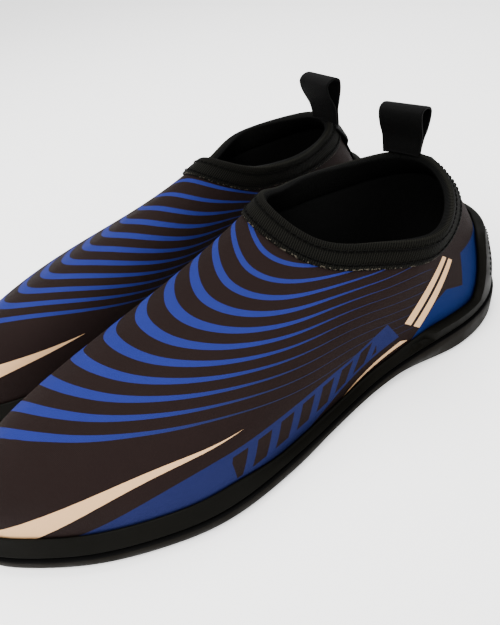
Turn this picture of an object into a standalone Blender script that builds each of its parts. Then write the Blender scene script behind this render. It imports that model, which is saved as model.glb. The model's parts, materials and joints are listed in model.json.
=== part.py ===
"""Pair of low neoprene water boots with moulded rubber soles and webbing heel tabs.

Metres, +Z up, toes toward -Y, soles on z = 0.  Each boot is written once in millimetres in
its own frame (heel at +Y, outer side of the foot at +X) and the right boot is its mirror.
"""
import math

import bmesh
import bpy
import numpy as np
from mathutils import Matrix, Vector

for ob in list(bpy.data.objects):
    bpy.data.objects.remove(ob, do_unlink=True)

MM = 0.001

# ---- sole outline: half widths at stations measured from the heel ----
SOLE_LENGTH = 295.0
HEEL_Y = 142.5
STATION = [0, 8, 25, 50, 80, 110, 140, 170, 200, 225, 252, 274, 289, 295]
OUTER_HALF = [-3, 20, 35, 42.5, 42, 41.5, 47, 53, 55.5, 50.5, 39.5, 25, 10.5, -8]
INNER_HALF = [3, 26, 39.5, 43, 40, 36, 35, 40, 46, 47.5, 45, 38, 26, 8]

# ---- heights of the sole unit ----
HEEL_SOLE = 10.0
FORE_SOLE = 5.0
RAND_TOP = 14.0
RAND_WAIST_DIP = 5.0
RAND_HEEL_RISE = 5.5
GUARD_TOP = 49.0
GUARD_FLAT_ARC = 45.0
GUARD_HALF_ARC = 63.0
FRONT_GAP = 1.2
TREAD_DEPTH = 1.3
TREAD_WIDTH = 2.6
TREAD_PITCH = 15.0

# ---- layers of the shell ----
UPPER_INSET = 7.0
NEOPRENE = 3.0
COLLAR_NEOPRENE = 2.2
BOARD = 1.2
GAP = 0.35

# ---- rim of the collar: points every 30 degrees from the back, by the outer side ----
RIM_STATION = [(-7, 107, 82.8), (11.5, 102.5, 79.2), (27.5, 90.5, 74.8), (35.5, 73, 71.6),
               (22.5, 51, 71.6), (4, 30.5, 74.6), (-22, 22, 88.5), (-36, 36, 83),
               (-42, 51, 80), (-42.5, 67, 79), (-37, 84, 79.6), (-25.5, 101.5, 81.8)]
RIM_BACK_Z = 81.5
BACK_SEAM_TURN = math.radians(21.0)
RIM_SPREAD = 2.2

# ---- collar trim ----
BINDING_HEIGHT = 12.5
BINDING = 1.0
STITCH_ROWS = (3.6, 10.0)
THREAD = 0.35
TAPE_WIDTH = 24.0
TAPE = 1.1
TAPE_BOTTOM_Z = 29.0
STITCH_DROP = 6.0
STITCH_TURN = 9.0

# ---- pull tab ----
TAB_WIDTH = 24.0
TAB_HEIGHT = {"left": 22.0, "right": 24.5}
TAB_GAP = 8.4
TAB_STRAP = 1.2
TAB_LEAN = {"left": math.radians(10.0), "right": math.radians(-6.0)}
TAB_YAW = {"left": math.radians(18.0), "right": math.radians(-10.0)}
TAB_LIFT = 1.4

# ---- where the boots stand ----
LEFT_AT = (0.0511, 0.0043)
RIGHT_AT = (-0.0534, 0.0056)
RIGHT_TURN = math.radians(2.2)

HALF_COLUMNS = 30
COLUMN_STEPS = 60


def smooth(x, lo, hi):
    t = np.clip((np.asarray(x, float) - lo) / (hi - lo), 0.0, 1.0)
    return t * t * (3.0 - 2.0 * t)


def closed_spline(points, per_span=30):
    """Periodic cubic spline through the points, square root chord parameter."""
    p = np.array(points, float)
    n, size = p.shape
    chord = np.sqrt(np.linalg.norm(np.roll(p, -1, axis=0) - p, axis=1))
    a = np.zeros((n, n))
    rhs = np.zeros((n, size))
    for i in range(n):
        h0 = chord[i - 1]
        h1 = chord[i]
        a[i, i - 1] += h0
        a[i, i] += 2.0 * (h0 + h1)
        a[i, (i + 1) % n] += h1
        rhs[i] = 6.0 * ((p[(i + 1) % n] - p[i]) / h1 - (p[i] - p[i - 1]) / h0)
    m = np.linalg.solve(a, rhs)
    out = []
    for i in range(n):
        j = (i + 1) % n
        h = chord[i]
        for k in range(per_span):
            t = k / per_span
            s = 1.0 - t
            bend = ((s ** 3 - s) * m[i] + (t ** 3 - t) * m[j]) * h * h / 6.0
            out.append(s * p[i] + t * p[j] + bend)
    return np.array(out)


def sole_columns():
    """Outline points, outward normals and heel-to-toe fraction; outer side first."""
    last = len(STATION) - 1
    pts = [(OUTER_HALF[i], HEEL_Y - STATION[i]) for i in range(last + 1)]
    pts += [(-INNER_HALF[i], HEEL_Y - STATION[i]) for i in range(last - 1, 0, -1)]
    dense = closed_spline(pts)
    toe = 30 * last
    frac = np.arange(HALF_COLUMNS + 1) / HALF_COLUMNS
    frac = 0.5 * frac + 0.25 * (1.0 - np.cos(math.pi * frac))
    outer = walk(dense[:toe + 1], frac)
    inner = walk(np.vstack([dense[toe:], dense[:1]])[::-1], frac)
    ring = np.vstack([outer, inner[-2:0:-1]])
    along = np.concatenate([frac, -frac[-2:0:-1]])
    edge = np.roll(ring, -1, axis=0) - np.roll(ring, 1, axis=0)
    normal = np.stack([-edge[:, 1], edge[:, 0]], axis=1)
    normal /= np.linalg.norm(normal, axis=1)[:, None]
    return ring, normal, along


def walk(line, frac):
    """Points at the given fractions of the line's length."""
    line = np.asarray(line, float)
    d = np.concatenate([[0.0], np.cumsum(np.linalg.norm(np.diff(line, axis=0), axis=1))])
    at = np.asarray(frac) * d[-1]
    return np.stack([np.interp(at, d, line[:, k]) for k in range(line.shape[1])], axis=1)


RING, NORMAL, ALONG = sole_columns()
COLUMNS = len(RING)
PERIMETER = np.concatenate([[0.0], np.cumsum(np.linalg.norm(
    np.diff(np.vstack([RING, RING[:1]]), axis=0), axis=1))])
FROM_HEEL = np.minimum(PERIMETER[:-1], PERIMETER[-1] - PERIMETER[:-1])


def rand_top(y):
    """Height of the sidewall: low at the waist, high under the heel."""
    y = np.asarray(y, float)
    dip = smooth(y, -55.0, -20.0) * (1.0 - smooth(y, 15.0, 60.0))
    return RAND_TOP - RAND_WAIST_DIP * dip + RAND_HEEL_RISE * smooth(y, 45.0, 75.0)


def sole_top(y):
    """Height of the groove between outsole and sidewall."""
    s = HEEL_Y - np.asarray(y, float)
    return HEEL_SOLE + (FORE_SOLE - HEEL_SOLE) * smooth(s, 55.0, 125.0)


RIM_CURVE = closed_spline(RIM_STATION)
RIM_CURVE = np.vstack([RIM_CURVE, RIM_CURVE[:1]])


def rim_point(phi):
    """Point of the rim at an angle from the back; each station counts 30 degrees."""
    at = np.mod(np.degrees(phi), 360.0)
    return np.stack([np.interp(at, np.arange(361), RIM_CURVE[:, k]) for k in range(3)], axis=-1)


def rim_angle(along):
    a = np.abs(along)
    g = 0.25 * a + 0.75 * (1.0 - (1.0 - a) ** RIM_SPREAD)
    return np.sign(along) * math.pi * g - BACK_SEAM_TURN * (1.0 - g) ** 2


def inset(distance):
    return RING - NORMAL * distance


def upper_columns():
    """Outer face of the neoprene: one curve per column, from the board up to the rim."""
    foot = inset(UPPER_INSET)
    low = sole_top(foot[:, 1]) + GAP + BOARD + GAP
    knee = np.column_stack([foot, np.full(COLUMNS, RAND_TOP + 1.0)])
    rim = rim_point(rim_angle(ALONG))
    a = np.abs(ALONG)
    rise = 19.0 + 6.0 * smooth(a, 0.1, 0.35) + 10.0 * smooth(a, 0.45, 1.0)
    rise -= 4.0 * (ALONG < 0) * smooth(a, 0.35, 0.6) * (1.0 - smooth(a, 0.8, 1.0))
    swell = 1.0 + smooth(a, 0.1, 0.35) - 3.5 * smooth(a, 0.5, 1.0)
    p1 = knee + np.column_stack([NORMAL * swell[:, None], rise])
    run = rim[:, :2] - knee[:, :2]
    share = 0.28 + 0.08 * smooth(a, 0.1, 0.35) + 0.13 * smooth(a, 0.4, 0.9)
    drop = share * (rim[:, 2] - knee[:, 2])
    pull = 0.62 - 0.36 * smooth(a, 0.13, 0.38) + 0.17 * smooth(a, 0.4, 0.8)
    p2 = np.column_stack([rim[:, :2] - run * pull[:, None], rim[:, 2] - drop])
    t = (np.arange(COLUMN_STEPS + 1) / COLUMN_STEPS)[None, :, None]
    curve = ((1 - t) ** 3 * knee[:, None] + 3 * (1 - t) ** 2 * t * p1[:, None]
             + 3 * (1 - t) * t * t * p2[:, None] + t ** 3 * rim[:, None])
    wall = np.stack([np.column_stack([foot, low + (RAND_TOP + 1.0 - low) * k / 4])
                     for k in range(4)], axis=1)
    return np.concatenate([wall, curve], axis=1)


FACE = upper_columns()


def face_normals(grid):
    du = np.roll(grid, -1, axis=0) - np.roll(grid, 1, axis=0)
    dv = np.gradient(grid, axis=1)
    n = np.cross(dv, du)
    n /= np.linalg.norm(n, axis=2)[:, :, None]
    return n


FACE_NORMAL = face_normals(FACE)
ARC = np.zeros(FACE.shape[:2])
ARC[:, 1:] = np.cumsum(np.linalg.norm(np.diff(FACE, axis=1), axis=2), axis=1)
RIM_ARC = ARC[:, -1][:, None] - ARC


def crossing_sine():
    """Sine of the angle between each column and the rim."""
    rim = FACE[:, -1]
    along = np.roll(rim, -1, axis=0) - np.roll(rim, 1, axis=0)
    up = FACE[:, -1] - FACE[:, -3]
    along /= np.linalg.norm(along, axis=1)[:, None]
    up /= np.linalg.norm(up, axis=1)[:, None]
    return np.linalg.norm(np.cross(along, up), axis=1)


RIM_SINE = crossing_sine()


def sample(column, value, table):
    """Point and normal on one column where the table reads the value."""
    order = np.argsort(table)
    p = [np.interp(value, table[order], FACE[column, order, k]) for k in range(3)]
    n = [np.interp(value, table[order], FACE_NORMAL[column, order, k]) for k in range(3)]
    n = np.array(n)
    return np.array(p), n / np.linalg.norm(n)


def below_rim(column, distance, off):
    """Point at a distance under the rim, off the outer face of the neoprene."""
    p, n = sample(column, distance / RIM_SINE[column], RIM_ARC[column])
    return p + n * off


def at_height(column, z, off):
    p, n = sample(column, z, FACE[column, :, 2])
    flat = np.array([n[0], n[1], 0.0])
    flat /= np.linalg.norm(flat)
    return p + flat * off


def wall_slope(column, z):
    """Level part of the unit normal: 1 on a plumb wall."""
    n = sample(column, z, FACE[column, :, 2])[1]
    return math.hypot(n[0], n[1])


# ---- mesh helpers ----

def solid(name, verts, faces, mirror):
    """One closed mesh in metres; mirrored in x for the right boot."""
    mesh = bpy.data.meshes.new(name)
    pts = [(-v[0] * MM if mirror else v[0] * MM, v[1] * MM, v[2] * MM) for v in verts]
    mesh.from_pydata(pts, [], [tuple(f) for f in faces])
    bm = bmesh.new()
    bm.from_mesh(mesh)
    bmesh.ops.remove_doubles(bm, verts=bm.verts, dist=1e-6)
    bmesh.ops.recalc_face_normals(bm, faces=bm.faces)
    bmesh.ops.triangulate(bm, faces=bm.faces, quad_method="SHORT_EDGE")
    if bm.calc_volume(signed=True) < 0.0:
        bmesh.ops.reverse_faces(bm, faces=bm.faces)
    bm.to_mesh(mesh)
    bm.free()
    for poly in mesh.polygons:
        poly.use_smooth = True
    ob = bpy.data.objects.new(name, mesh)
    bpy.context.scene.collection.objects.link(ob)
    return ob


def sweep(rings, closed):
    """Faces between successive equal rings of points, capped when open."""
    n = len(rings[0])
    verts = [p for ring in rings for p in ring]
    faces = []
    count = len(rings)
    for i in range(count if closed else count - 1):
        j = (i + 1) % count
        for k in range(n):
            m = (k + 1) % n
            faces.append((i * n + k, j * n + k, j * n + m, i * n + m))
    if not closed:
        faces.append(tuple(range(n)))
        faces.append(tuple((count - 1) * n + k for k in range(n)))
    return verts, faces


def ladder(ids):
    """Flat fill of a closed column ring: rungs between outer and inner columns."""
    n = HALF_COLUMNS
    out = ids[:n + 1]
    inn = [ids[0]] + list(ids[:n - 1:-1])
    faces = [(out[0], out[1], inn[1])]
    for i in range(1, n - 1):
        faces.append((out[i], out[i + 1], inn[i + 1], inn[i]))
    faces.append((out[n - 1], out[n], inn[n - 1]))
    return faces


def slab(layers):
    """Closed plate: stacked column rings, filled below and above."""
    verts = [p for layer in layers for p in layer]
    faces = []
    for r in range(len(layers) - 1):
        for i in range(COLUMNS):
            j = (i + 1) % COLUMNS
            faces.append((r * COLUMNS + i, r * COLUMNS + j,
                          (r + 1) * COLUMNS + j, (r + 1) * COLUMNS + i))
    faces += ladder(list(range(COLUMNS)))
    top = (len(layers) - 1) * COLUMNS
    faces += ladder(list(range(top, top + COLUMNS)))
    return verts, faces


def layer(distance, z):
    xy = inset(distance)
    return np.column_stack([xy, z(xy[:, 1])])


def material(name, colour, roughness):
    m = bpy.data.materials.new(name)
    m.use_nodes = True
    shader = m.node_tree.nodes["Principled BSDF"]
    shader.inputs["Base Color"].default_value = (*colour, 1.0)
    shader.inputs["Roughness"].default_value = roughness
    shader.inputs["Metallic"].default_value = 0.0
    return m


# ---- the pieces, in millimetres ----

def outsole():
    waist = 3.5 * smooth(HEEL_Y - RING[:, 1], 55.0, 90.0) \
        * (1.0 - smooth(HEEL_Y - RING[:, 1], 110.0, 165.0))
    low = RING - NORMAL * (2.6 + waist)[:, None]
    mid = RING - NORMAL * (0.9 + waist * 0.7)[:, None]
    return slab([np.column_stack([low, np.zeros(COLUMNS)]),
                 np.column_stack([mid, np.full(COLUMNS, 1.8)]),
                 layer(0.7, lambda y: sole_top(y) - 1.0),
                 layer(1.6, sole_top)])


def tread_cutters():
    """Bars that cut the grooves across the bottom, bent forward in the middle."""
    verts = []
    faces = []
    count = int((SOLE_LENGTH - 24.0) / TREAD_PITCH)
    for i in range(count):
        y = HEEL_Y - 20.0 - i * TREAD_PITCH
        for side in (-1, 1):
            base = len(verts)
            for x in (3.0 * side, 70.0 * side):
                skew = abs(x) * 0.22
                for dy in (-TREAD_WIDTH / 2, TREAD_WIDTH / 2):
                    for z in (-2.0, TREAD_DEPTH):
                        verts.append((x, y + dy + skew, z))
            faces += [tuple(base + k for k in f) for f in
                      ((0, 1, 3, 2), (4, 6, 7, 5), (0, 4, 5, 1),
                       (2, 3, 7, 6), (0, 2, 6, 4), (1, 5, 7, 3))]
    return verts, faces


def insole_board():
    return slab([layer(UPPER_INSET + 0.3, lambda y: sole_top(y) + GAP),
                 layer(UPPER_INSET + 0.3, lambda y: sole_top(y) + GAP + BOARD)])


def footbed():
    """Loose foam footbed with a raised edge round the heel."""
    edge = UPPER_INSET + NEOPRENE + 1.0

    def low(y):
        return sole_top(y) + GAP + BOARD + GAP

    def lip(y):
        return low(y) + 3.5 + 2.5 * smooth(y, 20.0, 90.0)

    def floor(y):
        return low(y) + 3.0
    return slab([layer(edge, low), layer(edge, lip), layer(edge + 1.2, lip),
                 layer(edge + 6.0, floor)])


def upper():
    """Moulded neoprene shell, open at the collar and at the lasting edge."""
    rows = 8
    rings = []
    for c in range(COLUMNS):
        start = RIM_ARC[c, 0]
        stop = (BINDING_HEIGHT + 3.5) / RIM_SINE[c]
        outside = []
        inside = []
        knee = RIM_ARC[c, 4]
        heights = [start] + [knee + (stop - knee) * k / (rows - 1) for k in range(rows)]
        for d in heights:
            p, n = sample(c, d, RIM_ARC[c])
            outside.append(p)
            inside.append(p - n * NEOPRENE)
        for d in (BINDING_HEIGHT, BINDING_HEIGHT * 0.5, BINDING + GAP):
            outside.append(below_rim(c, d, 0.0))
            inside.append(below_rim(c, d, -COLLAR_NEOPRENE))
        rings.append(outside + inside[::-1])
    return sweep(rings, True)


def collar_binding():
    """Folded tape over the rim: a U section carried round the collar."""
    out = GAP
    back = -COLLAR_NEOPRENE - GAP
    mid = 0.5 * (out + back)
    rings = []
    for c in range(COLUMNS):
        rings.append([
            below_rim(c, BINDING_HEIGHT, out),
            below_rim(c, BINDING_HEIGHT, out + BINDING * 0.8),
            below_rim(c, BINDING_HEIGHT * 0.5, out + BINDING * 1.1),
            below_rim(c, 1.2, out + BINDING),
            below_rim(c, 0.3, out + BINDING * 0.35),
            below_rim(c, 0.0, mid),
            below_rim(c, 0.3, back - BINDING * 0.35),
            below_rim(c, 1.2, back - BINDING),
            below_rim(c, BINDING_HEIGHT * 0.5, back - BINDING),
            below_rim(c, BINDING_HEIGHT, back - BINDING * 0.8),
            below_rim(c, BINDING_HEIGHT, back),
            below_rim(c, BINDING_HEIGHT * 0.5, back),
            below_rim(c, BINDING, back),
            below_rim(c, BINDING, out),
            below_rim(c, BINDING_HEIGHT * 0.5, out)])
    return sweep(rings, True)


def collar_stitch(distance):
    """One row of thread lying on the binding."""
    sides = 5
    off = GAP + BINDING * 1.1 + 0.25 + THREAD
    rings = []
    for c in range(COLUMNS):
        centre, n = sample(c, distance / RIM_SINE[c], RIM_ARC[c])
        centre = centre + n * off
        lower = sample(c, (distance + 1.0) / RIM_SINE[c], RIM_ARC[c])[0]
        down = lower - sample(c, distance / RIM_SINE[c], RIM_ARC[c])[0]
        down /= np.linalg.norm(down)
        rings.append([centre + THREAD * (math.cos(t) * n + math.sin(t) * down)
                      for t in [2 * math.pi * k / sides for k in range(sides)]])
    return sweep(rings, True)


def guard_top(distance, y):
    """Height of the rubber edge at a distance round the sole from the back seam."""
    low = rand_top(y)
    return low + (GUARD_TOP - low) * (1.0 - smooth(distance, GUARD_FLAT_ARC, GUARD_HALF_ARC))


def guard_thickness(top, low, z):
    """Rubber on the wall of the upper: thin at the edge, thick at the foot of the guard."""
    share = (top - low) / (GUARD_TOP - low)
    return 1.3 + 3.0 * share * float(smooth(top - z, 0.0, 26.0))


def guard_room(distance):
    """Inner offset of the guard: room for the heel tape and a gap along its front edge."""
    front = smooth(distance, 36.0, 46.0) * (1.0 - smooth(distance, 66.0, 78.0))
    return GAP + 0.05 + 1.6 * (1.0 - smooth(distance, 15.5, 28.0)) + FRONT_GAP * front


def sidewall():
    levels = 7
    rings = []
    for c in range(COLUMNS):
        groove = float(sole_top(RING[c, 1]))
        low = float(rand_top(RING[c, 1]))
        top = float(guard_top(FROM_HEEL[c], RING[c, 1]))
        room = float(guard_room(FROM_HEEL[c]))
        ledge = min(low, RAND_TOP) - 0.7
        ring = [np.array([*(RING[c] - NORMAL[c] * 1.4), groove + GAP])]
        z0 = groove + GAP + 0.9
        for k in range(levels):
            z = z0 + (top - 0.7 - z0) * k / (levels - 1)
            lean = float(np.clip((z - z0) / (ledge - z0), 0.0, 1.0))
            thick = guard_thickness(top, low, z)
            surface = 0.2 * (1 - lean) + (UPPER_INSET - room - thick) * lean
            off = UPPER_INSET - surface
            ring.append(at_height(c, max(z, FACE[c, 0, 2] + 0.01), off))
            ring[-1][2] = z
        ring.append(at_height(c, top, room + 0.7))
        for k in range(levels):
            z = top - 0.6 - (top - 0.6 - z0) * k / (levels - 1)
            ring.append(at_height(c, max(z, FACE[c, 0, 2] + 0.01), room))
            ring[-1][2] = z
        foot = inset(UPPER_INSET - room)[c]
        ring.append(np.array([*foot, groove + GAP]))
        rings.append(ring)
    return sweep(rings, True)


def across_back(z, reach, off):
    """Points at the same height, a signed distance from the back seam."""
    order = [c % COLUMNS for c in range(-9, 10)]
    pts = np.array([at_height(c, z, off / wall_slope(c, z)) for c in order])
    d = np.concatenate([[0.0], np.cumsum(np.linalg.norm(np.diff(pts, axis=0), axis=1))])
    d -= d[9]
    return np.array([np.interp(reach, d, pts[:, k]) for k in range(3)])


def tape_offset(z):
    """Clearance of the tape from the neoprene: it steps out over the collar binding."""
    edge = RIM_BACK_Z - BINDING_HEIGHT - 1.0
    return GAP + (BINDING * 1.1 + 2 * THREAD + 0.55) * float(smooth(z, edge - 6.0, edge))


def heel_tape():
    """Webbing down the back seam, from the rim into the heel guard."""
    top = RIM_BACK_Z - 2.0
    steps = 10
    rings = []
    for k in range(steps + 1):
        z = TAPE_BOTTOM_Z + (top - TAPE_BOTTOM_Z) * k / steps
        off = tape_offset(z)
        reach = [TAPE_WIDTH * (q / 4 - 0.5) for q in range(5)]
        near = [across_back(z, r, off) for r in reach]
        far = [across_back(z, r, off + TAPE) for r in reach[::-1]]
        rings.append(near + far)
    return sweep(rings, False)


def guard_stitch():
    """Row of thread inside the edge of the heel guard, turned down at both ends."""
    sides = 6
    rings = []
    span = 5
    for c in range(-span, span + 1):
        i = c % COLUMNS
        low = float(rand_top(RING[i, 1]))
        top = float(guard_top(FROM_HEEL[i], RING[i, 1]))
        room = float(guard_room(FROM_HEEL[i]))
        z = top - STITCH_DROP - (STITCH_TURN if abs(c) == span else 0.0)
        thick = guard_thickness(top, low, z)
        centre = at_height(i, z, room + thick + 0.55 + THREAD)
        out = at_height(i, z, 5.0) - at_height(i, z, 0.0)
        out /= np.linalg.norm(out)
        up = np.array([0.0, 0.0, 1.0])
        rings.append([centre + THREAD * (math.cos(t) * out + math.sin(t) * up)
                      for t in [2 * math.pi * k / sides for k in range(sides)]])
    return sweep(rings, False)


def tab_loop(height):
    """Side view of the webbing loop; the rounded sewn base is centred on the hinge."""
    steps = 8
    half = TAB_STRAP
    side = []
    for k in range(steps + 1):
        t = k / steps
        z = (height - 3.4) * t
        side.append((half + (TAB_GAP / 2) * float(smooth(t, 0.22, 0.95)), z))
    crown_r = side[-1][0]
    crown = [(crown_r * math.cos(a), side[-1][1] + 3.4 * math.sin(a))
             for a in [math.pi * q / 8 for q in range(1, 8)]]
    outer = side + crown + [(-y, z) for y, z in side[::-1]]
    outer += [(half * math.cos(a), half * math.sin(a))
              for a in [math.pi * (1.0 + q / 4) for q in (1, 2, 3)]]
    inner = []
    for k in range(2, steps + 1):
        t = k / steps
        z = (height - 3.4) * t
        inner.append((0.05 + (TAB_GAP / 2) * float(smooth(t, 0.22, 0.95)), z))
    inner[0] = (0.12, inner[0][1])
    rin = inner[-1][0]
    crown_in = [(rin * math.cos(a), inner[-1][1] + (3.4 - TAB_STRAP) * math.sin(a))
                for a in [math.pi * q / 8 for q in range(1, 8)]]
    inner = inner + crown_in + [(-y, z) for y, z in inner[::-1]]
    return outer, inner


def pull_tab(height):
    """The loop's side view drawn as a ring and carried across the webbing's width."""
    outer, inner = tab_loop(height)
    n = len(outer)
    m = len(inner)
    faces = []
    verts = []
    for x in (-TAB_WIDTH / 2, TAB_WIDTH / 2):
        verts += [(x, y, z) for y, z in outer] + [(x, y, z) for y, z in inner]
    size = n + m
    for k in range(n):
        j = (k + 1) % n
        faces.append((k, j, size + j, size + k))
    for k in range(m):
        j = (k + 1) % m
        faces.append((n + k, size + n + k, size + n + j, n + j))
    last = n - 4
    for base in (0, size):
        for k in range(m - 1):
            faces.append((base + 2 + k, base + 3 + k, base + n + k + 1, base + n + k))
        foot = [0, 1, 2, n, n + m - 1, last - 2, last - 1, last, n - 3, n - 2, n - 1]
        faces.append(tuple(base + k for k in foot))
    return verts, faces


# ---- materials ----
RUBBER = material("black_sole_rubber", (0.014, 0.014, 0.011), 0.55)
SIDE_RUBBER = material("black_sidewall_rubber", (0.016, 0.016, 0.012), 0.5)
JERSEY = material("printed_neoprene_jersey", (0.028, 0.020, 0.017), 0.8)
BOARD_CLOTH = material("grey_board_cloth", (0.16, 0.16, 0.16), 0.9)
FOAM = material("black_footbed_foam", (0.012, 0.012, 0.012), 0.9)
KNIT = material("black_binding_knit", (0.013, 0.013, 0.011), 0.75)
WEBBING = material("black_webbing", (0.004, 0.004, 0.004), 0.7)
TAPE_WEB = material("black_heel_webbing", (0.005, 0.005, 0.005), 0.7)
THREAD_BLACK = material("black_thread", (0.02, 0.02, 0.018), 0.6)


def add(name, parts, parent, mirror, mat):
    ob = solid(name, parts[0], parts[1], mirror)
    ob.data.materials.append(mat)
    ob.parent = parent
    return ob


def make_boot(side, place, turn, mirror):
    root = bpy.data.objects.new(side + "_boot", None)
    bpy.context.scene.collection.objects.link(root)
    root.location = (place[0], place[1], 0.0)
    root.rotation_euler = (0.0, 0.0, turn)
    sole = add(side + "_outsole", outsole(), root, mirror, RUBBER)
    cutter = add(side + "_tread_cutter", tread_cutters(), root, mirror, RUBBER)
    cutter.hide_render = True
    cutter.display_type = "WIRE"
    cut = sole.modifiers.new("tread", "BOOLEAN")
    cut.operation = "DIFFERENCE"
    cut.solver = "EXACT"
    cut.object = cutter
    add(side + "_sidewall", sidewall(), root, mirror, SIDE_RUBBER)
    add(side + "_insole_board", insole_board(), root, mirror, BOARD_CLOTH)
    add(side + "_upper", upper(), root, mirror, JERSEY)
    add(side + "_collar_binding", collar_binding(), root, mirror, KNIT)
    add(side + "_collar_stitch_high", collar_stitch(STITCH_ROWS[0]), root, mirror, THREAD_BLACK)
    add(side + "_collar_stitch_low", collar_stitch(STITCH_ROWS[1]), root, mirror, THREAD_BLACK)
    add(side + "_heel_tape", heel_tape(), root, mirror, TAPE_WEB)
    add(side + "_guard_stitch", guard_stitch(), root, mirror, THREAD_BLACK)

    toe_y = HEEL_Y - SOLE_LENGTH + 12.0
    pivot = bpy.data.objects.new(side + "_footbed_pivot", None)
    bpy.context.scene.collection.objects.link(pivot)
    pivot.parent = root
    pivot.location = (0.0, toe_y * MM, (FORE_SOLE + 2.0) * MM)
    verts, faces = footbed()
    verts = [(v[0], v[1] - toe_y, v[2] - FORE_SOLE - 2.0) for v in verts]
    add(side + "_footbed", (verts, faces), pivot, mirror, FOAM)

    rim = below_rim(0, 0.0, -COLLAR_NEOPRENE / 2)
    hinge = bpy.data.objects.new(side + "_tab_hinge", None)
    bpy.context.scene.collection.objects.link(hinge)
    hinge.parent = root
    hinge.location = ((-rim[0] if mirror else rim[0]) * MM, rim[1] * MM,
                      (rim[2] + TAB_LIFT + TAB_STRAP) * MM)
    hinge.rotation_euler = (0.0, 0.0, -TAB_YAW[side] if mirror else TAB_YAW[side])
    verts, faces = pull_tab(TAB_HEIGHT[side])
    lean = Matrix.Rotation(-TAB_LEAN[side], 3, "X")
    verts = [tuple(lean @ Vector(v)) for v in verts]
    add(side + "_pull_tab", (verts, faces), hinge, mirror, WEBBING)


make_boot("left", LEFT_AT, 0.0, False)
make_boot("right", RIGHT_AT, RIGHT_TURN, True)
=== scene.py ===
"""Looks of a pair of low neoprene water boots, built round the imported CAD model."""
import json
import math

import bpy
import numpy as np
from mathutils import Matrix, Vector

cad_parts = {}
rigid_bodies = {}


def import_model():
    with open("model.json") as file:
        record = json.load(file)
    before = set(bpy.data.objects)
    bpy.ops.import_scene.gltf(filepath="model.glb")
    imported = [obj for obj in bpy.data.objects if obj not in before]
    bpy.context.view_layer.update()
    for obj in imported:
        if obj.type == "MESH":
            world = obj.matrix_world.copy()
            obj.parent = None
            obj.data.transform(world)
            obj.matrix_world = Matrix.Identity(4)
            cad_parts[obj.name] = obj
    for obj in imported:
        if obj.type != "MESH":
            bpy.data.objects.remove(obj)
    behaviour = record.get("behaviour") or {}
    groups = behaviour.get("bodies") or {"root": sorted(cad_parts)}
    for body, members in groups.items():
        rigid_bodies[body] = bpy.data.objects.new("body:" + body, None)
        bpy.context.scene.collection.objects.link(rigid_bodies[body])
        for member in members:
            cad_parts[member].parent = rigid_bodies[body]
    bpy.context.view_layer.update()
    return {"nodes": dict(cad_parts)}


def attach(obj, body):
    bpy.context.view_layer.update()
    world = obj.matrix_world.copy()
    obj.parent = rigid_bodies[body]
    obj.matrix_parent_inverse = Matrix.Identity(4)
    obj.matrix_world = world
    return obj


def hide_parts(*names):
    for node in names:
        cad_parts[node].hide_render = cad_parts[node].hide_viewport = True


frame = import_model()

MM = 0.001

# ---- camera, floor and light ----
CAMERA_AT = (0.23381, -0.07821, 0.20524)
CAMERA_YAW = math.radians(62.1)
CAMERA_PITCH = math.radians(39.59)
CAMERA_ROLL = math.radians(-9.2)
CAMERA_LENS = 31.72


def make_camera():
    back = np.array([math.sin(CAMERA_YAW) * math.cos(CAMERA_PITCH),
                     -math.cos(CAMERA_YAW) * math.cos(CAMERA_PITCH), math.sin(CAMERA_PITCH)])
    right = np.array([math.cos(CAMERA_YAW), math.sin(CAMERA_YAW), 0.0])
    up = np.cross(back, right)
    x = right * math.cos(CAMERA_ROLL) + up * math.sin(CAMERA_ROLL)
    y = -right * math.sin(CAMERA_ROLL) + up * math.cos(CAMERA_ROLL)
    data = bpy.data.cameras.new("camera")
    data.lens = CAMERA_LENS
    data.sensor_width = 36.0
    data.shift_x = -0.0663
    data.shift_y = 0.0090
    data.clip_start = 0.005
    data.clip_end = 20.0
    camera = bpy.data.objects.new("camera", data)
    rows = [[x[k], y[k], back[k], CAMERA_AT[k]] for k in range(3)] + [[0.0, 0.0, 0.0, 1.0]]
    camera.matrix_world = Matrix(rows)
    bpy.context.scene.collection.objects.link(camera)
    bpy.context.scene.camera = camera


def make_light(name, place, aim, size, power, colour):
    data = bpy.data.lights.new(name, "AREA")
    data.shape = "DISK"
    data.size = size
    data.energy = power
    data.color = colour
    lamp = bpy.data.objects.new(name, data)
    lamp.location = place
    lamp.rotation_mode = "QUATERNION"
    lamp.rotation_quaternion = (Vector(aim) - Vector(place)).to_track_quat("-Z", "Y")
    bpy.context.scene.collection.objects.link(lamp)


def make_floor():
    mesh = bpy.data.meshes.new("floor")
    r = 4.0
    mesh.from_pydata([(-r, -r, 0), (r, -r, 0), (r, r, 0), (-r, r, 0)], [], [(0, 1, 2, 3)])
    floor = bpy.data.objects.new("floor", mesh)
    bpy.context.scene.collection.objects.link(floor)
    mat = bpy.data.materials.new("pale_floor")
    mat.use_nodes = True
    shader = mat.node_tree.nodes["Principled BSDF"]
    shader.inputs["Base Color"].default_value = (0.95, 0.95, 0.95, 1.0)
    shader.inputs["Emission Color"].default_value = (1.0, 1.0, 1.0, 1.0)
    shader.inputs["Emission Strength"].default_value = 0.75
    shader.inputs["Roughness"].default_value = 0.9
    mesh.materials.append(mat)


def make_world():
    world = bpy.data.worlds.new("studio")
    world.use_nodes = True
    back = world.node_tree.nodes["Background"]
    back.inputs["Color"].default_value = (1.0, 1.0, 1.0, 1.0)
    back.inputs["Strength"].default_value = 1.15
    bpy.context.scene.world = world


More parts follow.
